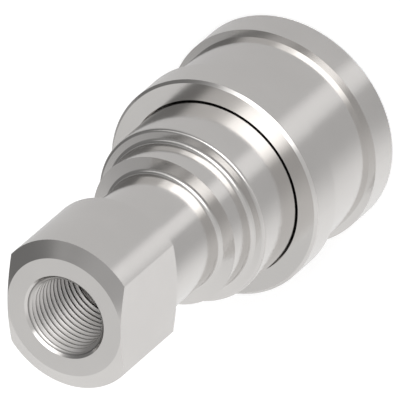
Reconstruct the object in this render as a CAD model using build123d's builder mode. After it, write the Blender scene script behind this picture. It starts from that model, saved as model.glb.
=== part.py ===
from build123d import *
from math import cos, pi, radians, sin, sqrt, tan
import os

os.makedirs("parts", exist_ok=True)

# A stainless quick coupling for hydraulic hose: the socket half of a ball-lock pair, with a
# poppet valve that shuts when the plug is pulled out.
# Sizes are in millimetres. Z is the axis. The coupling stands on its nose, where the plug goes
# in, and its pipe port looks up. X is square to the two wrench flats.

# Fits between pieces, as radial or end clearances
running_gap = 0.08      # turned pieces that slide or turn on each other
sleeve_gap = 0.10       # sleeve on the body and on the nose
joint_gap = 0.05        # pieces that are screwed or pushed together and stay
seat_gap = 0.03         # rings in their grooves, balls under the rib
edge_break = 0.25       # bevel on an edge that a hand can reach
face_slope = 6.0        # degrees that the faces of the rim, collar and front land fall outwards

# Lengths along the axis, from the body's back end to the port
rim_height = 0.75
collar_length = 6.65
neck_length = 16.5
head_length = 21.5

# Port adapter, outside
rim_rounding = 0.7
collar_d = 31.5
neck_d = 24.9
head_d = 31.5
wrench_flats = 25.0
head_bevel_angle = 25.0
corner_radius = 1.0

# Port adapter, inside
port_thread_d = 16.66
port_thread_length = 17.5
port_countersink = 0.47
flow_bore_d = 15.2
guide_bore_d = 21.8
guide_seat_d = 18.4
guide_seat_setback = 3.7    # from the adapter's seam on the body to the guide's shoulder
flow_cone_height = 3.2

# Spigot of the adapter, which screws into the back of the body
chamber_spare = 0.4         # straight part of the chamber, between the seat and the spigot
spigot_wall = 2.2
joint_thread_step = 0.9     # from the spigot's plain land up to its thread
joint_thread_length = 6.3
joint_relief_length = 1.0
joint_relief_depth = 0.9

# Coupler body, outside
body_d = 37.0

# Coupler body, inside
mouth_d = 23.9
mouth_guide_step = 0.2      # the front of the mouth is this much wider, all round
mouth_guide_depth = 6.6
mouth_bevel = 0.85
mouth_bore_depth = 12.9
seal_bore_d = 20.6
seal_bore_depth = 25.3
throat_d = 15.2
throat_length = 1.2
chamber_d = 23.2

# Locking balls and the snap ring in front of them
ball_d = 4.76
ball_count = 10
ball_land = 0.35            # left between the snap ring's groove and the ball pockets
pocket_lip_d = 3.7
pocket_taper = 1.1
pocket_seat = 0.54          # where the taper starts, in from the balls' centres
snap_wire_d = 1.6
snap_height = 5.6
snap_ring_opening = 24.0    # degrees left open between the ring's ends
snap_groove_depth = 0.75

# Locking sleeve
waist_wall = 2.9            # metal between the bore and the waist
land_height = 1.5           # how far the lands stand out from the waist
sleeve_setback = 0.3        # how far the sleeve stops short of the nose
sleeve_lap = 5.79           # how far the sleeve runs over the body behind the shoulder
front_land = 6.75
rear_land = 7.4
rear_bevel = 0.55
sleeve_mouth_step = 0.22    # the back end of its bore is this much wider, all round
sleeve_mouth_depth = 1.6
rib_depth = 1.6
rib_tail = 1.3              # how far the rib runs on behind the centres of the balls
sleeve_travel = 5.0

# Washer, spring and wiper of the sleeve
washer_thickness = 0.8
sleeve_wire_d = 1.6
sleeve_spring_gap = 0.55    # on each side of the wire
sleeve_spring_turns = 4.5
sleeve_spring_spare = 0.73  # left between the closed turns when the sleeve is right back
wire_sides = 6
wiper_inset = 2.2           # in from the sleeve's rear face
wiper_width = 1.8
wiper_depth = 1.3
ring_corner = 0.35          # blunted corners of the wiper and the adapter's seal

# Rings that seal the plug's probe
probe_seal_section = 2.62
probe_groove_height = 17.0
probe_groove_depth = 2.15
probe_groove_spare = 0.4
backup_thickness = 1.2

# Rings that seal the adapter in the body
adapter_seal_section = 1.78
adapter_groove_depth = 1.35
adapter_groove_inset = 0.9
adapter_groove_spare = 0.2
adapter_groove_wall = 0.52  # land left behind the groove
adapter_backup_thickness = 1.0

# Poppet
seat_overlap = 1.4          # how far the poppet reaches over the throat's edge
poppet_disc = 2.6
poppet_travel = 5.0
poppet_stop_gap = 0.25      # left between the opened poppet and the guide's hub
stem_d = 6.0
stem_length = 19.5
poppet_pin_d = 6.4
poppet_pin_length = 6.2
poppet_flange_gap = 0.5
poppet_flange = 0.7
poppet_screw_d = 5.0
poppet_screw_length = 4.0
seal_thickness = 1.4
seal_inner_d = 12.4
cone_gap = 0.06
poppet_wire_d = 1.2
poppet_spring_gap = 1.0     # between the hub and the wire
poppet_spring_turns = 4.5

# Guide of the poppet's stem
guide_rim = 2.9
guide_rim_wall = 1.5
guide_hub_wall = 0.92
guide_hub_back = 1.2        # how far the hub stands out behind the rim
guide_leg = 2.0
guide_legs = 4
bush_wall = 0.55
guide_snap_thickness = 1.2
guide_snap_depth = 0.7
guide_snap_width = 1.7
guide_snap_opening = 50.0   # degrees left open between the ring's ends

# Radii that several pieces share
match = 0.01                # how near an edge lies to the size that selects it
face_fall = tan(radians(face_slope))
body_r = body_d / 2
sleeve_bore_r = body_r + sleeve_gap
nose_r = sleeve_bore_r - sleeve_wire_d - 2 * sleeve_spring_gap
rib_bore_r = nose_r + sleeve_gap
throat_r = throat_d / 2
chamber_r = chamber_d / 2
poppet_r = throat_r + seat_overlap
stem_r = stem_d / 2
guide_bore_r = guide_bore_d / 2
land_r = guide_bore_r + spigot_wall
land_bore_r = land_r + joint_gap * 2
joint_thread_r = land_r + joint_thread_step
pocket_r = ball_d / 2 + joint_gap
ball_centre_r = rib_bore_r - ball_d / 2 - seat_gap
snap_r = nose_r - snap_groove_depth + snap_wire_d / 2

# Heights from the nose: the valve's seat, the spigot behind it, and what stands on the body
seat_base = seal_bore_depth + throat_length
seat_top = seat_base + chamber_r - throat_r
spigot_front = seat_top + chamber_spare
adapter_groove_base = spigot_front + adapter_groove_inset
adapter_groove_width = adapter_seal_section + adapter_backup_thickness + adapter_groove_spare
land_top = adapter_groove_base + adapter_groove_width + adapter_groove_wall
seam = land_top + joint_thread_length
collar_base = seam + rim_height
neck_base = collar_base + collar_length
head_base = neck_base + neck_length
port_face = head_base + head_length

# The sleeve's stack: its forward stop, the balls under its rib, washer, spring and shoulder.
# The rib's sloped front meets the round wire of the stop at 45 degrees.
snap_groove_top = snap_height + snap_wire_d / 2 + joint_gap
snap_reach = (snap_wire_d / 2 + 2 * joint_gap) * sqrt(2)
ball_height = snap_groove_top + ball_land + pocket_r
rib_front = snap_r + snap_height + snap_reach - rib_bore_r
rib_back = ball_height + rib_tail
washer_base = rib_back + joint_gap
washer_top = washer_base + washer_thickness
closed_spring = sleeve_spring_turns * sleeve_wire_d
shoulder = washer_top + closed_spring + sleeve_travel + sleeve_spring_spare
sleeve_top = shoulder + sleeve_lap
wiper_base = sleeve_top - wiper_inset - wiper_width


def turned(*points, mode=Mode.ADD):
    """Turns a closed outline of (radius, height) points about Z, in the part that is open."""
    with BuildSketch(Plane.XZ) as outline:
        with BuildLine():
            Polyline(*points, close=True)
        make_face()
    revolve(outline.sketch, axis=Axis.Z, mode=mode)


def ring(inner_r, outer_r, bottom, top, mode=Mode.ADD):
    """A plain turned ring between two heights."""
    turned((inner_r, bottom), (outer_r, bottom), (outer_r, top), (inner_r, top), mode=mode)


def round_ring(section_d, mean_r, height, open_degrees=0.0):
    """A ring of round section, closed or left open over some degrees."""
    with BuildSketch(Plane.XZ) as section:
        with Locations((mean_r, height)):
            Circle(section_d / 2)
    revolve(section.sketch, axis=Axis.Z, revolution_arc=360 - open_degrees)


def coil(wire_d, mean_r, bottom, top, turns):
    """A spring with both ends ground flat. Its wire has few sides and the round wire's area."""
    side_angle = pi / wire_sides
    wire_r = wire_d / 2 * sqrt(side_angle / (sin(side_angle) * cos(side_angle)))
    with BuildLine() as path:
        Helix(pitch=(top - bottom) / turns, height=top - bottom, radius=mean_r,
              center=(0, 0, bottom))
    with BuildSketch(Plane(origin=path.line @ 0, z_dir=path.line % 0)) as wire:
        RegularPolygon(wire_r, wire_sides)
    sweep(wire.sketch, path=path.line, is_frenet=True)
    split(bisect_by=Plane.XY.offset(bottom), keep=Keep.TOP)
    split(bisect_by=Plane.XY.offset(top), keep=Keep.BOTTOM)


def finish(piece, node):
    """Names a piece and writes it out."""
    piece.part.label = node
    export_step(piece.part, "parts/" + node + ".step")


# Coupler body: bar turned down in front to the nose, which carries the sleeve and the balls.
# Its back end is bored and threaded for the adapter's spigot.
lead_in = (mouth_d - seal_bore_d) / 2
guide_mouth_r = mouth_d / 2 + mouth_guide_step
probe_groove_r = seal_bore_d / 2 + probe_groove_depth
probe_groove_width = probe_seal_section + backup_thickness + probe_groove_spare
wiper_floor_r = body_r - wiper_depth

with BuildPart() as coupler_body:
    turned((0, 0), (nose_r - edge_break, 0), (nose_r, edge_break), (nose_r, shoulder),
           (body_r - edge_break, shoulder), (body_r, shoulder + edge_break),
           (body_r, seam), (0, seam))
    turned((0, 0), (guide_mouth_r + mouth_bevel, 0), (guide_mouth_r, mouth_bevel),
           (guide_mouth_r, mouth_guide_depth), (mouth_d / 2, mouth_guide_depth + mouth_guide_step),
           (mouth_d / 2, mouth_bore_depth), (seal_bore_d / 2, mouth_bore_depth + lead_in),
           (seal_bore_d / 2, seal_bore_depth), (throat_r, seal_bore_depth),
           (throat_r, seat_base), (chamber_r, seat_top),
           (chamber_r, spigot_front - joint_gap), (land_bore_r, spigot_front - joint_gap),
           (land_bore_r, land_top), (joint_thread_r, land_top + joint_thread_r - land_bore_r),
           (joint_thread_r, seam), (0, seam), mode=Mode.SUBTRACT)
    ring(0, probe_groove_r, probe_groove_height, probe_groove_height + probe_groove_width,
         mode=Mode.SUBTRACT)
    ring(wiper_floor_r, sleeve_bore_r, wiper_base, wiper_base + wiper_width, mode=Mode.SUBTRACT)
    ring(nose_r - snap_groove_depth, body_r, snap_height - snap_wire_d / 2 - joint_gap,
         snap_groove_top, mode=Mode.SUBTRACT)
    # Each ball pocket is drilled from outside and keeps a narrower lip at the bore
    pocket_floor_r = ball_centre_r - pocket_seat
    with Locations(Plane.XY.offset(ball_height)):
        with PolarLocations(pocket_floor_r, ball_count):
            Cylinder(pocket_r, nose_r, rotation=(0, 90, 0), mode=Mode.SUBTRACT,
                     align=(Align.CENTER, Align.CENTER, Align.MIN))
            Cone(pocket_r, pocket_lip_d / 2, pocket_taper, rotation=(0, -90, 0),
                 mode=Mode.SUBTRACT, align=(Align.CENTER, Align.CENTER, Align.MIN))
            Cylinder(pocket_lip_d / 2, pocket_floor_r, rotation=(0, -90, 0),
                     mode=Mode.SUBTRACT, align=(Align.CENTER, Align.CENTER, Align.MIN))
finish(coupler_body, "coupler_body")

# Port adapter: head with the two wrench flats, neck, collar and rim, and the spigot inside the
# body. The head's two bevels have one angle, and the flats cut them to curves.
head_r = head_d / 2
flat_r = wrench_flats / 2
neck_r = neck_d / 2
collar_r = collar_d / 2
bevel_slope = tan(radians(head_bevel_angle))
back_bevel = (head_r - neck_r) * bevel_slope
front_bevel = (head_r - flat_r) * bevel_slope
male_thread_r = joint_thread_r - joint_gap
rim_foot = (body_r - rim_rounding - collar_r) / 2
collar_foot_height = collar_base + (body_r - collar_r) * face_fall
neck_foot_height = neck_base + (collar_r - neck_r) * face_fall
flow_r = flow_bore_d / 2
thread_r = port_thread_d / 2
mouth_r = thread_r + port_countersink
thread_end = port_face - port_countersink - port_thread_length
guide_seat = seam + guide_seat_setback
adapter_groove_r = land_r - adapter_groove_depth
guide_snap_top = guide_seat - guide_rim - 2 * joint_gap
guide_snap_base = guide_snap_top - guide_snap_thickness - joint_gap
guide_snap_r = guide_bore_r + guide_snap_depth

with BuildPart() as port_adapter:
    turned((0, seam), (body_r, seam), (body_r, collar_base), (collar_r, collar_foot_height),
           (collar_r, neck_base), (neck_r, neck_foot_height), (neck_r, head_base),
           (head_r, head_base + back_bevel), (head_r, port_face - front_bevel),
           (flat_r, port_face), (0, port_face))
    corners = edges().filter_by(GeomType.CIRCLE)
    rim_edge = corners.filter_by(lambda e: abs(e.radius - body_r) < match
                                 and abs(e.center().Z - collar_base) < match)
    collar_foot = corners.filter_by(lambda e: abs(e.radius - collar_r) < match
                                    and abs(e.center().Z - collar_foot_height) < match)
    neck_foot = corners.filter_by(lambda e: abs(e.radius - neck_r) < match
                                  and abs(e.center().Z - neck_foot_height) < match)
    fillet(collar_foot + neck_foot,
           radius=min(corner_radius, rim_foot, (collar_r - neck_r) / 2))
    fillet(rim_edge, radius=min(rim_rounding, 0.95 * rim_height))
    # Two flats, milled across the head and no further down than its back bevel
    with BuildSketch(Plane.XY.offset(head_base)):
        for side in (-1, 1):
            with Locations((side * (flat_r + head_r) / 2, 0)):
                Rectangle(head_r - flat_r, head_d)
    extrude(amount=head_length, mode=Mode.SUBTRACT)
    # Spigot: plain land in front, relief, thread
    turned((0, spigot_front), (land_r - edge_break, spigot_front),
           (land_r, spigot_front + edge_break), (land_r, land_top),
           (male_thread_r, land_top + male_thread_r - land_r),
           (male_thread_r, seam - joint_relief_length),
           (male_thread_r - joint_relief_depth, seam - joint_relief_length),
           (male_thread_r - joint_relief_depth, seam), (0, seam))
    turned((0, spigot_front), (guide_bore_r, spigot_front), (guide_bore_r, guide_seat),
           (guide_seat_d / 2, guide_seat), (flow_r, guide_seat + flow_cone_height),
           (flow_r, thread_end - thread_r + flow_r), (thread_r, thread_end),
           (thread_r, port_face - port_countersink), (mouth_r, port_face), (0, port_face),
           mode=Mode.SUBTRACT)
    ring(adapter_groove_r, land_bore_r, adapter_groove_base,
         adapter_groove_base + adapter_groove_width, mode=Mode.SUBTRACT)
    ring(0, guide_snap_r, guide_snap_base, guide_snap_top, mode=Mode.SUBTRACT)
finish(port_adapter, "port_adapter")

# Locking sleeve: a land at each end and a waist between them for the fingers. Inside, a rib
# holds the balls in, and its sloped front lets them climb out when the sleeve is drawn back.
recess_r = rib_bore_r + rib_depth
waist_r = sleeve_bore_r + waist_wall
sleeve_r = waist_r + land_height
sleeve_mouth_r = sleeve_bore_r + sleeve_mouth_step

with BuildPart() as locking_sleeve:
    turned((recess_r, sleeve_setback), (sleeve_r - edge_break, sleeve_setback),
           (sleeve_r, sleeve_setback + edge_break), (sleeve_r, sleeve_setback + front_land),
           (waist_r, sleeve_setback + front_land + land_height * face_fall),
           (waist_r, sleeve_top - rear_land), (sleeve_r, sleeve_top - rear_land),
           (sleeve_r, sleeve_top - rear_bevel), (sleeve_r - rear_bevel, sleeve_top),
           (sleeve_mouth_r, sleeve_top), (sleeve_mouth_r, sleeve_top - sleeve_mouth_depth),
           (sleeve_bore_r, sleeve_top - sleeve_mouth_depth - sleeve_mouth_step),
           (sleeve_bore_r, rib_back), (rib_bore_r, rib_back), (rib_bore_r, rib_front),
           (recess_r, rib_front - rib_depth))
finish(locking_sleeve, "locking_sleeve")

# Locking balls, held out of the plug's groove or in it by the sleeve's rib
with BuildPart() as locking_balls:
    with Locations(Plane.XY.offset(ball_height)):
        with PolarLocations(ball_centre_r, ball_count):
            Sphere(ball_d / 2)
finish(locking_balls, "locking_balls")

# Snap ring of round wire, the sleeve's forward stop
with BuildPart() as sleeve_retaining_ring:
    round_ring(snap_wire_d, snap_r + seat_gap, snap_height, open_degrees=snap_ring_opening)
finish(sleeve_retaining_ring, "sleeve_retaining_ring")

# Thrust washer between the rib and the spring
with BuildPart() as sleeve_thrust_washer:
    ring(nose_r + running_gap, sleeve_bore_r - running_gap, washer_base, washer_top)
finish(sleeve_thrust_washer, "sleeve_thrust_washer")

# Sleeve spring, from the washer to the body's shoulder
with BuildPart() as sleeve_spring:
    coil(sleeve_wire_d, (nose_r + sleeve_bore_r) / 2, washer_top + seat_gap,
         shoulder - seat_gap, sleeve_spring_turns)
finish(sleeve_spring, "sleeve_spring")

# Wiper under the sleeve's rear bore
with BuildPart() as sleeve_wiper:
    ring(wiper_floor_r + seat_gap, sleeve_bore_r - joint_gap, wiper_base + joint_gap,
         wiper_base + wiper_width - joint_gap)
    chamfer(edges().filter_by(GeomType.CIRCLE).group_by(SortBy.RADIUS)[-1], length=ring_corner)
finish(sleeve_wiper, "sleeve_wiper")

# Seal and backup ring for the plug's probe
probe_backup_top = probe_groove_height + seat_gap + backup_thickness
with BuildPart() as probe_backup_ring:
    ring(seal_bore_d / 2 + joint_gap, probe_groove_r - seat_gap,
         probe_groove_height + seat_gap, probe_backup_top)
finish(probe_backup_ring, "probe_backup_ring")

with BuildPart() as probe_seal:
    round_ring(probe_seal_section, probe_groove_r - probe_seal_section / 2 - seat_gap,
               probe_backup_top + probe_seal_section / 2 + seat_gap)
finish(probe_seal, "probe_seal")

# Seal and backup ring of the joint between adapter and body
adapter_backup_base = adapter_groove_base + adapter_groove_width - adapter_backup_thickness
with BuildPart() as adapter_backup_ring:
    ring(adapter_groove_r + seat_gap, land_r - seat_gap, adapter_backup_base - seat_gap,
         adapter_backup_base + adapter_backup_thickness - 2 * seat_gap)
finish(adapter_backup_ring, "adapter_backup_ring")

# Squeezed between the groove and the bore, so its section is a square with blunt corners
with BuildPart() as adapter_seal:
    ring(adapter_groove_r + seat_gap, land_bore_r - seat_gap,
         adapter_groove_base + seat_gap, adapter_backup_base - 2 * seat_gap)
    chamfer(edges().filter_by(GeomType.CIRCLE), length=ring_corner)
finish(adapter_seal, "adapter_seal")

# Poppet: disc and stem in one piece, with a boss in front for the seal and a screw for the nose.
# The seal's cone lies along the seat in the body.
seal_slack = cone_gap * sqrt(2)
seal_front = seat_base + poppet_flange
seal_back = seal_front + seal_thickness
disc_back = seal_back + poppet_disc
stem_end = disc_back + stem_length
screw_r = poppet_screw_d / 2
boss_r = seal_inner_d / 2 - joint_gap

with BuildPart() as poppet:
    turned((0, seal_front - poppet_screw_length), (screw_r, seal_front - poppet_screw_length),
           (screw_r, seal_front), (boss_r, seal_front), (boss_r, seal_back),
           (poppet_r, seal_back), (poppet_r, disc_back - edge_break),
           (poppet_r - edge_break, disc_back), (stem_r, disc_back),
           (stem_r, stem_end - 2 * edge_break), (stem_r - 2 * edge_break, stem_end),
           (0, stem_end))
finish(poppet, "poppet")

with BuildPart() as poppet_seal:
    seal_front_r = throat_r + seal_front - seat_base - seal_slack
    turned((boss_r + joint_gap, seal_front), (seal_front_r, seal_front),
           (poppet_r, seal_front + poppet_r - seal_front_r), (poppet_r, seal_back - joint_gap),
           (boss_r + joint_gap, seal_back - joint_gap))
finish(poppet_seal, "poppet_seal")

# Nose of the poppet: a flange under the seal and the pin that the plug pushes
pin_r = poppet_pin_d / 2
nose_flange_r = throat_r - poppet_flange_gap
nose_base = seal_front - poppet_flange - (nose_flange_r - pin_r) / 2
nose_tip = nose_base - poppet_pin_length
with BuildPart() as poppet_nose:
    turned((0, nose_tip), (pin_r - 2 * edge_break, nose_tip), (pin_r, nose_tip + 2 * edge_break),
           (pin_r, nose_base), (nose_flange_r, seal_front - poppet_flange),
           (nose_flange_r, seal_front - joint_gap), (0, seal_front - joint_gap))
    ring(0, screw_r + joint_gap, seal_front - poppet_screw_length - joint_gap, seal_front,
         mode=Mode.SUBTRACT)
finish(poppet_nose, "poppet_nose")

# Guide of the stem: a rim on the adapter's shoulder, a hub, and legs with room for the flow.
# The hub's front is the stop that the opened poppet comes near.
guide_top = guide_seat - joint_gap
guide_base = guide_top - guide_rim
hub_front = disc_back + poppet_travel + poppet_stop_gap
hub_back = guide_top + guide_hub_back
bush_bore_r = stem_r + running_gap
bush_r = bush_bore_r + bush_wall
hub_r = bush_r + joint_gap + guide_hub_wall
rim_r = guide_bore_r - joint_gap

with BuildPart() as valve_guide:
    ring(rim_r - guide_rim_wall, rim_r, guide_base, guide_top)
    ring(bush_r + joint_gap, hub_r, hub_front, hub_back)
    with BuildSketch(Plane.XY.offset(guide_base)):
        with PolarLocations((rim_r + bush_r) / 2, guide_legs):
            Rectangle(rim_r - bush_r - guide_rim_wall / 2, guide_leg)
        Circle(bush_r + joint_gap, mode=Mode.SUBTRACT)
    extrude(amount=guide_rim)
finish(valve_guide, "valve_guide")

with BuildPart() as guide_bush:
    ring(bush_bore_r, bush_r, hub_front + joint_gap, hub_back - joint_gap)
finish(guide_bush, "guide_bush")

# Snap ring that keeps the guide on its shoulder
with BuildPart() as guide_retaining_ring:
    ring_outer_r = guide_snap_r - joint_gap
    with BuildSketch(Plane.XZ) as ring_section:
        with Locations((ring_outer_r - guide_snap_width / 2, guide_snap_base + joint_gap)):
            Rectangle(guide_snap_width, guide_snap_thickness - joint_gap,
                      align=(Align.CENTER, Align.MIN))
    revolve(axis=Axis.Z, revolution_arc=360 - guide_snap_opening)
finish(guide_retaining_ring, "guide_retaining_ring")

# Poppet spring, from the disc's back to the guide's legs, round the hub
with BuildPart() as poppet_spring:
    coil(poppet_wire_d, hub_r + poppet_spring_gap + poppet_wire_d / 2, disc_back + seat_gap,
         guide_base - seat_gap, poppet_spring_turns)
finish(poppet_spring, "poppet_spring")
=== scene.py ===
from math import cos, pi, radians, sin, tan

import bpy
from mathutils import Matrix, Vector


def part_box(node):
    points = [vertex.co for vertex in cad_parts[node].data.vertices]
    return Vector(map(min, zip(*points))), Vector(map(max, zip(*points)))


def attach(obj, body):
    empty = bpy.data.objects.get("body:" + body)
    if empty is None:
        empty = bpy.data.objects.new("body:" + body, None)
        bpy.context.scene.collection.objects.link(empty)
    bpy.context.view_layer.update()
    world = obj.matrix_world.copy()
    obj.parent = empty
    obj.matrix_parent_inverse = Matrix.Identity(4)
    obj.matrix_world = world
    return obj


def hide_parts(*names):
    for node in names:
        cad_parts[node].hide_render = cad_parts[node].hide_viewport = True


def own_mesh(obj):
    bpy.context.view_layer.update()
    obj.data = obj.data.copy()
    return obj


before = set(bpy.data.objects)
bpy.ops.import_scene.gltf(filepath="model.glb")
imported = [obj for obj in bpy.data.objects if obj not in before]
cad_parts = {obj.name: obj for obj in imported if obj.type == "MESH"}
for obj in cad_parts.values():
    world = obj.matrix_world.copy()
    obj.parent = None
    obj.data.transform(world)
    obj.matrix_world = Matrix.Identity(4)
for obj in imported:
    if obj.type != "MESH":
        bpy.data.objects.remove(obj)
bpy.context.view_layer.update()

# Coupler body, the bar that everything else is built on. Stainless steel, turned, bored and
# then polished, so the cutter's rings only show faintly when light runs along them.


class Signal:
    """A node's output in a material. Arithmetic on it adds the Math nodes that do it."""

    def __init__(self, tree, socket):
        self.tree = tree
        self.socket = socket

    def feed(self, socket):
        """Links this signal to another node's socket."""
        self.tree.links.new(self.socket, socket)

    def node(self, kind, settings, inputs, output=0):
        """Adds any node: its settings first, then a value or a signal for each named input."""
        made = self.tree.nodes.new(kind)
        for name, value in settings.items():
            setattr(made, name, value)
        for name, value in inputs.items():
            if isinstance(value, Signal):
                value.feed(made.inputs[name])
            else:
                made.inputs[name].default_value = value
        return Signal(self.tree, made.outputs[output])

    def maths(self, operation, *values):
        return self.node("ShaderNodeMath", {"operation": operation}, dict(enumerate(values)))

    def root(self):
        return self.maths("SQRT", self)

    def __add__(self, other):
        return self.maths("ADD", self, other)

    def __radd__(self, other):
        return self.maths("ADD", other, self)

    def __sub__(self, other):
        return self.maths("SUBTRACT", self, other)

    def __rsub__(self, other):
        return self.maths("SUBTRACT", other, self)

    def __mul__(self, other):
        return self.maths("MULTIPLY", self, other)

    def __rmul__(self, other):
        return self.maths("MULTIPLY", other, self)

    def step(self, low, high):
        """0 below low, 1 above high and smooth between them."""
        return self.node("ShaderNodeMapRange", {"interpolation_type": "SMOOTHSTEP"},
                         {"Value": self, "From Min": low, "From Max": high})

    def part(self, axis):
        """One of a vector's three parts."""
        return self.node("ShaderNodeSeparateXYZ", {}, {"Vector": self}, axis)

    def tint(self, dark, light):
        """Runs from one colour to another as this signal runs from 0 to 1."""
        dark_input, light_input, colour_output = 6, 7, 2
        ends = [colour if isinstance(colour, Signal) else (*colour, 1)
                for colour in (dark, light)]
        return self.node("ShaderNodeMix", {"data_type": "RGBA"},
                         {"Factor": self, dark_input: ends[0], light_input: ends[1]},
                         colour_output)


def new_material(name):
    """An empty material, its surface socket and the place on the object as a signal."""
    material = bpy.data.materials.new(name)
    material.use_nodes = True
    tree = material.node_tree
    tree.nodes.clear()
    end = tree.nodes.new("ShaderNodeOutputMaterial")
    place = tree.nodes.new("ShaderNodeTexCoord")
    return material, end.inputs["Surface"], Signal(tree, place.outputs["Object"])


def give_finish(material, *nodes):
    """Puts a material on solids, which keep their own mesh."""
    for node in nodes:
        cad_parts[node].material_slots[0].material = material


def turned_metal(name, colour, roughness, ring_spacing, ring_depth, painted_shade_radii=None):
    """Metal turned about Z: rings too fine to count, and a slow drift in how bright it is.

    It is painted darker from the first radius to the second, as shade in a thread's roots, and is
    rougher there."""
    ring_detail = 2.0
    ring_roughness = 0.07
    ring_strength = 0.25
    drifts_to_the_metre = 90.0
    drift_detail = 3.0
    drift_roughness = 0.02
    darkest, lightest = 0.985, 1.01
    painted_shade_tone = 0.40
    dull_roughness = 0.12

    material, surface, place = new_material(name)
    axis_x = place.part("X")
    axis_y = place.part("Y")
    radius = (axis_x * axis_x + axis_y * axis_y).root()
    height = place.part("Z")
    across = place.node("ShaderNodeCombineXYZ", {}, {"X": radius, "Y": height, "Z": 0.0})
    rings = across.node("ShaderNodeTexNoise", {"noise_dimensions": "3D"},
                        {"Vector": across, "Scale": 1 / ring_spacing, "Detail": ring_detail})
    drift = place.node("ShaderNodeTexNoise", {"noise_dimensions": "3D"},
                       {"Vector": place, "Scale": drifts_to_the_metre,
                        "Detail": drift_detail})
    tone = drift.step(0.35, 0.65).tint([darkest * part for part in colour],
                                       [lightest * part for part in colour])
    rough = roughness + (rings - 0.5) * ring_roughness + (drift - 0.5) * drift_roughness
    # Painted shade: between the two radii the colour darkens as shade in a thread's roots; the
    # extra roughness there is real.
    if painted_shade_radii:
        root_shade_and_roughness = radius.step(*painted_shade_radii)
        tone = root_shade_and_roughness.tint(tone, [painted_shade_tone * part for part in colour])
        rough = rough + dull_roughness * root_shade_and_roughness
    bump = rings.node("ShaderNodeBump", {}, {"Height": rings, "Strength": ring_strength,
                                             "Distance": ring_depth})
    shader = place.node("ShaderNodeBsdfPrincipled", {},
                        {"Base Color": tone, "Metallic": 1.0, "Roughness": rough,
                         "Normal": bump})
    shader.feed(surface)
    return material


stainless = turned_metal("stainless_steel", colour=(0.695, 0.68, 0.665), roughness=0.15,
                         ring_spacing=0.00018, ring_depth=0.000002)
give_finish(stainless, "coupler_body")

# Locking balls: ten hardened steel balls in the nose's tapered pockets. They are ground and
# lapped to a mirror, with only hair-fine scratches where they have rolled.


def speckled(name, dark, light, speck, roughness, spread, metallic, bump_height):
    """A finish whose tone and roughness both follow one fine speckle over the surface."""
    speck_detail = 4.0
    speck_fineness = 0.6
    speck_strength = 0.5
    material, surface, place = new_material(name)
    specks = place.node("ShaderNodeTexNoise", {"noise_dimensions": "3D"},
                        {"Vector": place, "Scale": 1 / speck, "Detail": speck_detail,
                         "Roughness": speck_fineness})
    bump = specks.node("ShaderNodeBump", {}, {"Height": specks, "Strength": speck_strength,
                                              "Distance": bump_height})
    shader = place.node("ShaderNodeBsdfPrincipled", {},
                        {"Base Color": specks.step(0.3, 0.7).tint(dark, light),
                         "Metallic": metallic, "Roughness": roughness + (specks - 0.5) * spread,
                         "Normal": bump})
    shader.feed(surface)
    return material


ball_steel = speckled("lapped_ball_steel", dark=(0.60, 0.60, 0.61), light=(0.66, 0.66, 0.66),
                      speck=0.0004, roughness=0.08, spread=0.05, metallic=1.0,
                      bump_height=0.0000005)
give_finish(ball_steel, "locking_balls")

# Snap rings: spring wire bent to an open ring, which springs into a groove. The round one is
# the sleeve's front stop, and the flat one holds the poppet's guide in the adapter. The wire is
# drawn, so it is a little grey.
drawn_wire = speckled("drawn_spring_wire", dark=(0.36, 0.35, 0.34), light=(0.50, 0.49, 0.47),
                      speck=0.0006, roughness=0.34, spread=0.16, metallic=1.0,
                      bump_height=0.000002)
give_finish(drawn_wire, "sleeve_retaining_ring", "guide_retaining_ring")

# Thrust washer between the locking sleeve's rib and its spring: a stainless ring, stamped and
# flattened. The sleeve turns freely on it.
give_finish(stainless, "sleeve_thrust_washer")

# Sleeve spring: 1.6 mm spring wire wound round the nose, its two ends ground flat. It pushes
# the sleeve to the front, and shortens towards the body's shoulder as the sleeve is drawn back.


def wind(piece, rise, rounds, steps):
    """Winds the piece's closed outline up the Z axis, right-hand, and closes its two ends."""
    merge_distance = 0.000001
    bpy.ops.object.mode_set(mode="OBJECT")
    turns = piece.modifiers.new("turns", "SCREW")
    turns.axis = "Z"
    turns.angle = 2 * pi
    turns.screw_offset = rise
    turns.iterations = rounds
    turns.steps = steps
    turns.render_steps = steps
    bpy.ops.object.modifier_apply(modifier="turns")
    bpy.ops.object.mode_set(mode="EDIT")
    bpy.ops.mesh.select_all(action="SELECT")
    bpy.ops.mesh.remove_doubles(threshold=merge_distance)
    bpy.ops.mesh.select_all(action="SELECT")
    bpy.ops.mesh.fill_holes(sides=0)
    bpy.ops.mesh.select_all(action="SELECT")
    bpy.ops.mesh.normals_make_consistent(inside=False)


def wound_spring(node, wire, turns):
    """Round wire in place of the solid's six-sided wire, between the same two ends."""
    wire_sides = 14
    steps_in_a_turn = 36
    low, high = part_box(node)
    length = high.z - low.z
    pitch = length / turns
    rounds_past_both_ends = int(turns + 1.5)
    bpy.ops.object.select_all(action="DESELECT")
    bpy.ops.mesh.primitive_circle_add(vertices=wire_sides, radius=wire / 2,
                                      location=(high.x - wire / 2, 0, low.z - pitch / 2),
                                      rotation=(pi / 2, 0, 0))
    spring = bpy.context.object
    spring.name = "wound_" + node
    bpy.ops.object.transform_apply(location=True, rotation=True, scale=True)
    wind(spring, pitch, rounds_past_both_ends, steps_in_a_turn)
    for end, side in ((low.z, -1), (high.z, 1)):
        bpy.ops.mesh.select_all(action="SELECT")
        bpy.ops.mesh.bisect(plane_co=(0, 0, end), plane_no=(0, 0, side), use_fill=True,
                            clear_outer=True)
    bpy.ops.object.mode_set(mode="OBJECT")
    bpy.ops.object.shade_smooth_by_angle(angle=radians(40))
    spring.data.materials.append(drawn_wire)
    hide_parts(node)
    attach(spring, "coupler")
    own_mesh(spring)


wound_spring("sleeve_spring", wire=0.0016, turns=4.5)

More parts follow.
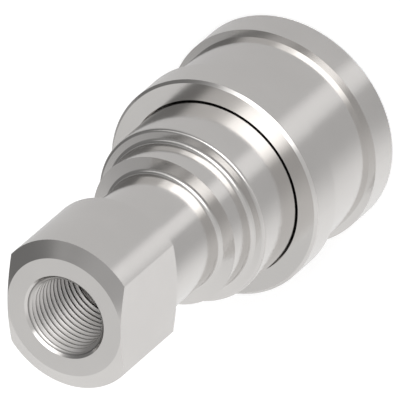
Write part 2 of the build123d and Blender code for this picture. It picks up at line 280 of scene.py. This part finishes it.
# Locking sleeve: the stainless ring that is drawn back to free the plug, turned and bored from
# bar. Its rib holds the balls in, and its waist gives the fingers a shoulder to pull on.
give_finish(stainless, "locking_sleeve")

# Sleeve wiper: a square-cut ring of black nitrile rubber in the body's groove. It keeps grit out
# of the spring. Its skin is dull, as a mould leaves it.
nitrile = speckled("black_nitrile", dark=(0.012, 0.012, 0.012), light=(0.030, 0.029, 0.028),
                   speck=0.00035, roughness=0.46, spread=0.18, metallic=0.0,
                   bump_height=0.000008)
give_finish(nitrile, "sleeve_wiper")

# Seals, one for the plug's probe and one for the adapter: rings moulded from the same rubber
# and pushed into their grooves, each against its backup ring.
give_finish(nitrile, "probe_seal", "adapter_seal")

# Backup rings: thin white fluoropolymer rings beside the two seals, skived from bar, so they
# are waxy, with a faint mottle.
fluoropolymer = speckled("white_fluoropolymer", dark=(0.74, 0.73, 0.70),
                         light=(0.84, 0.83, 0.80), speck=0.0009, roughness=0.42,
                         spread=0.10, metallic=0.0, bump_height=0.000004)
give_finish(fluoropolymer, "probe_backup_ring", "adapter_backup_ring")

# Poppet's guide: a turned and milled stainless ring with four legs, which leave the flow a way
# past. The bronze bush pressed into its hub keeps the stem off the stainless.
bronze = turned_metal("bearing_bronze", colour=(0.60, 0.42, 0.22), roughness=0.26,
                      ring_spacing=0.00015, ring_depth=0.000003)
give_finish(bronze, "guide_bush")
give_finish(stainless, "valve_guide")

# Poppet: the valve's disc and stem, turned from stainless bar in one. Its nose screws on over
# the moulded seal and clamps it.
give_finish(stainless, "poppet", "poppet_nose")
give_finish(nitrile, "poppet_seal")

# Poppet spring: 1.2 mm spring wire wound round the guide's hub, its two ends ground flat. It
# stands on the guide's legs and shuts the poppet when the plug is out.
wound_spring("poppet_spring", wire=0.0012, turns=4.5)

# Port adapter: the back piece, turned from stainless bar in one with its collar and neck. The
# two wrench flats are milled on its head, and it screws into the body.
give_finish(stainless, "port_adapter")

# Port thread: the right-hand pipe thread that takes the hose's end. It is tapped in the
# adapter's bore, so it is the same steel, less smooth in its roots, with painted shade that
# darkens those roots, and the countersink has trimmed its first turn.


def select_where(piece, wanted):
    """In edit mode, selects the piece's vertices that stand where wanted says, and no others."""
    bpy.ops.mesh.select_mode(type="VERT")
    bpy.ops.mesh.select_all(action="DESELECT")
    bpy.ops.object.mode_set(mode="OBJECT")
    for vertex in piece.data.vertices:
        vertex.select = wanted(vertex.co)
    bpy.ops.object.mode_set(mode="EDIT")


thread_pitch = 0.001337
thread_rounds = 14
thread_steps = 96
thread_flank = 27.5             # degrees, from square to the axis
thread_major = 0.00833          # the bore's wall in the solid
thread_root = 0.0083
thread_crest = 0.007474
thread_back = 0.00836           # the ridges close just inside the wall
thread_rounding = 0.0001
turn_gap = 0.000005             # kept free beside each turn, so that no two turns merge
last_turn_depth = 0.017614      # below the port's face, where the tap stopped
flank_slope = tan(radians(thread_flank))
half_crest = thread_pitch / 4 - flank_slope * (thread_major - thread_crest) / 2
half_foot = half_crest + flank_slope * (thread_root - thread_crest)
half_size = (thread_root - thread_crest) / 2
middle = (thread_root + thread_crest) / 2
root_flat = thread_pitch / 2 - half_foot - turn_gap
inner_face = (thread_root + thread_back) / 2
port_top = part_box("port_adapter")[1].z
last_turn = port_top - last_turn_depth

bpy.ops.object.select_all(action="DESELECT")
bpy.ops.mesh.primitive_plane_add(size=thread_root - thread_crest, rotation=(pi / 2, 0, 0),
                                 location=(middle, 0, last_turn))
thread = bpy.context.object
thread.name = "port_thread"
bpy.ops.object.transform_apply(location=True, rotation=True, scale=True)
bpy.ops.object.mode_set(mode="EDIT")
bpy.ops.mesh.delete(type="ONLY_FACE")
select_where(thread, lambda place: place.x < middle)
bpy.ops.transform.resize(value=(1, 1, half_crest / half_size),
                         center_override=(thread_crest, 0, last_turn))
select_where(thread, lambda place: place.x > middle)
bpy.ops.transform.resize(value=(1, 1, half_foot / half_size),
                         center_override=(thread_root, 0, last_turn))
bpy.ops.mesh.delete(type="EDGE")
for side in (-1, 1):
    select_where(thread, lambda place: place.x > middle and
                 abs(side * (place.z - last_turn) - half_foot) < half_foot / 10)
    bpy.ops.mesh.extrude_vertices_move(TRANSFORM_OT_translate={"value": (0, 0, side * root_flat)})
    bpy.ops.mesh.extrude_vertices_move(
        TRANSFORM_OT_translate={"value": (thread_back - thread_root, 0, 0)})
select_where(thread, lambda place: place.x > inner_face)
bpy.ops.mesh.edge_face_add()
select_where(thread, lambda place: place.x < inner_face and
             abs(place.z - last_turn) < half_foot + root_flat / 2)
bpy.ops.mesh.bevel(affect="VERTICES", offset=thread_rounding, segments=3, profile=0.5)
wind(thread, thread_pitch, thread_rounds, thread_steps)
bpy.ops.object.mode_set(mode="OBJECT")

countersink_edge = 0.00882      # the 45-degree countersink's radius at the port's face
cone_below_edge = 0.0016
cone_above_edge = 0.0024
bpy.ops.object.select_all(action="DESELECT")
bpy.ops.mesh.primitive_cone_add(vertices=thread_steps,
                                radius1=countersink_edge - cone_below_edge,
                                radius2=countersink_edge + cone_above_edge,
                                depth=cone_below_edge + cone_above_edge,
                                location=(0, 0,
                                          port_top + (cone_above_edge - cone_below_edge) / 2))
countersink = bpy.context.object
bpy.ops.object.select_all(action="DESELECT")
bpy.context.view_layer.objects.active = thread
trim = thread.modifiers.new("countersink", "BOOLEAN")
trim.operation = "DIFFERENCE"
trim.solver = "EXACT"
trim.object = countersink
bpy.ops.object.modifier_apply(modifier="countersink")
bpy.data.objects.remove(countersink)
thread.select_set(True)
bpy.ops.object.shade_smooth_by_angle(angle=radians(35))
# Painted shade: the tapped thread's colour darkens in its roots, from 7.95 to 8.28 mm out.
tapped = turned_metal("tapped_steel", colour=(0.66, 0.645, 0.63), roughness=0.38,
                      ring_spacing=0.00012, ring_depth=0.000002,
                      painted_shade_radii=(0.00795, 0.00828))
thread.data.materials.append(tapped)
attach(thread, "coupler")

# Camera, on the photograph's side: it looks at the port end from above its right flat, and
# the part lies across the frame. The lens is long, so that lines along the axis stay parallel.
frame_width = 0.07708           # metres across the picture at the part
look_at = Vector((0.00012, 0, 0.03529))
to_camera = Vector((0.4330, 0.5, 0.75)).normalized()
camera_right = Vector((0.8660, 0, -0.5)).normalized()
camera_up = to_camera.cross(camera_right)
camera_data = bpy.data.cameras.new("camera")
camera_data.lens = 1600
camera_data.sensor_width = 36
camera_data.clip_end = 50
camera_distance = frame_width * camera_data.lens / camera_data.sensor_width
camera = bpy.data.objects.new("camera", camera_data)
bpy.context.scene.collection.objects.link(camera)
camera.matrix_world = Matrix.Translation(look_at + camera_distance * to_camera) @ Matrix(
    (camera_right, camera_up, to_camera)).transposed().to_4x4()
bpy.context.scene.camera = camera

# Studio: grey walls, darker in the west, with round cards hung in them. The steel sees those,
# and the camera sees a plain white backdrop. North is +Y here, and a level of 1 is white.
world = bpy.data.worlds.new("studio")
world.use_nodes = True
world.node_tree.nodes.clear()
world_end = world.node_tree.nodes.new("ShaderNodeOutputWorld")
world_place = world.node_tree.nodes.new("ShaderNodeTexCoord")
towards = Signal(world.node_tree, world_place.outputs["Generated"])
east = towards.part("X")
north = towards.part("Y")
height = towards.part("Z")

west_wall = 0.20
middle_wall_gain = 0.24
east_wall_gain = 0.20
walls = (west_wall + middle_wall_gain * east.step(-0.85, 0.0)
         + east_wall_gain * east.step(0.1, 0.8))
floor_west = 0.65
floor_east_loss = 0.19
floor = floor_west - floor_east_loss * east.step(0.45, 0.66)
below = (0 - height).step(0.15, 0.6)
level = walls + (floor - walls) * below
south_wall = 0.90
south_floor_gain = 0.26
southward = (0.18 * east - north).step(0.12, 0.58 + 0.18 * below)
level = level + (south_wall + south_floor_gain * below - level) * southward


def card(bearing, rise, inner, outer, strength):
    """A round card whose middle stands at a bearing from east and a rise above level, in
    degrees. It is at full strength up to the inner angle from there, and fades to the outer."""
    across = cos(radians(rise))
    facing = (east * (across * cos(radians(bearing))) + north * (across * sin(radians(bearing)))
              + height * sin(radians(rise)))
    return strength * facing.step(cos(radians(outer)), cos(radians(inner)))


raised = height.step(0.44, 0.64)    # cuts off the lower part of the two small upper cards
level = level + card(bearing=64, rise=39, inner=9, outer=33, strength=2.1)
level = level + card(bearing=100, rise=37, inner=4, outer=16, strength=1.1) * raised
level = level + card(bearing=131, rise=40, inner=12, outer=25, strength=0.50) * raised
level = level + card(bearing=42, rise=-48.6, inner=3, outer=12, strength=0.50)
studio = level.node("ShaderNodeBackground", {}, {"Color": (1.005, 1.0, 0.996, 1),
                                                 "Strength": level})
backdrop = level.node("ShaderNodeBackground", {}, {"Color": (1, 1, 1, 1), "Strength": 1.0})
in_view = level.node("ShaderNodeLightPath", {}, {}, "Is Camera Ray")
surround = level.node("ShaderNodeMixShader", {}, {0: in_view, 1: studio, 2: backdrop})
surround.feed(world_end.inputs["Surface"])
bpy.context.scene.world = world

# Table: white, matt and plain. In the picture a little glow keeps it as white as the backdrop,
# with the part's shadow on it, and the steel sees most of the studio's floor through it.
table_width = 4.0
table_drop = 0.00002
table_paleness = 0.8
table_glow = 0.50
floor_seen_in_steel = 0.65
bpy.ops.mesh.primitive_plane_add(size=table_width, location=(0, 0, -table_drop))
table = bpy.context.object
table.name = "table"
table_paint, table_surface, table_place = new_material("white_table")
rays = table_place.node("ShaderNodeLightPath", {}, {}, "Is Camera Ray")
glossy = Signal(rays.tree, rays.socket.node.outputs["Is Glossy Ray"])
paint = rays.node("ShaderNodeBsdfDiffuse", {},
                  {"Color": (table_paleness, table_paleness, table_paleness, 1)})
glow = rays.node("ShaderNodeEmission", {}, {"Color": (1, 1, 1, 1), "Strength": table_glow})
lit = paint.node("ShaderNodeAddShader", {}, {0: paint, 1: glow})
seen = rays.node("ShaderNodeMixShader", {}, {0: rays, 1: paint, 2: lit})
clear = rays.node("ShaderNodeBsdfTransparent", {}, {})
mixed = seen.node("ShaderNodeMixShader", {},
                  {0: floor_seen_in_steel * glossy, 1: seen, 2: clear})
mixed.feed(table_surface)
table.data.materials.append(table_paint)

bpy.context.scene.view_settings.view_transform = "Standard"
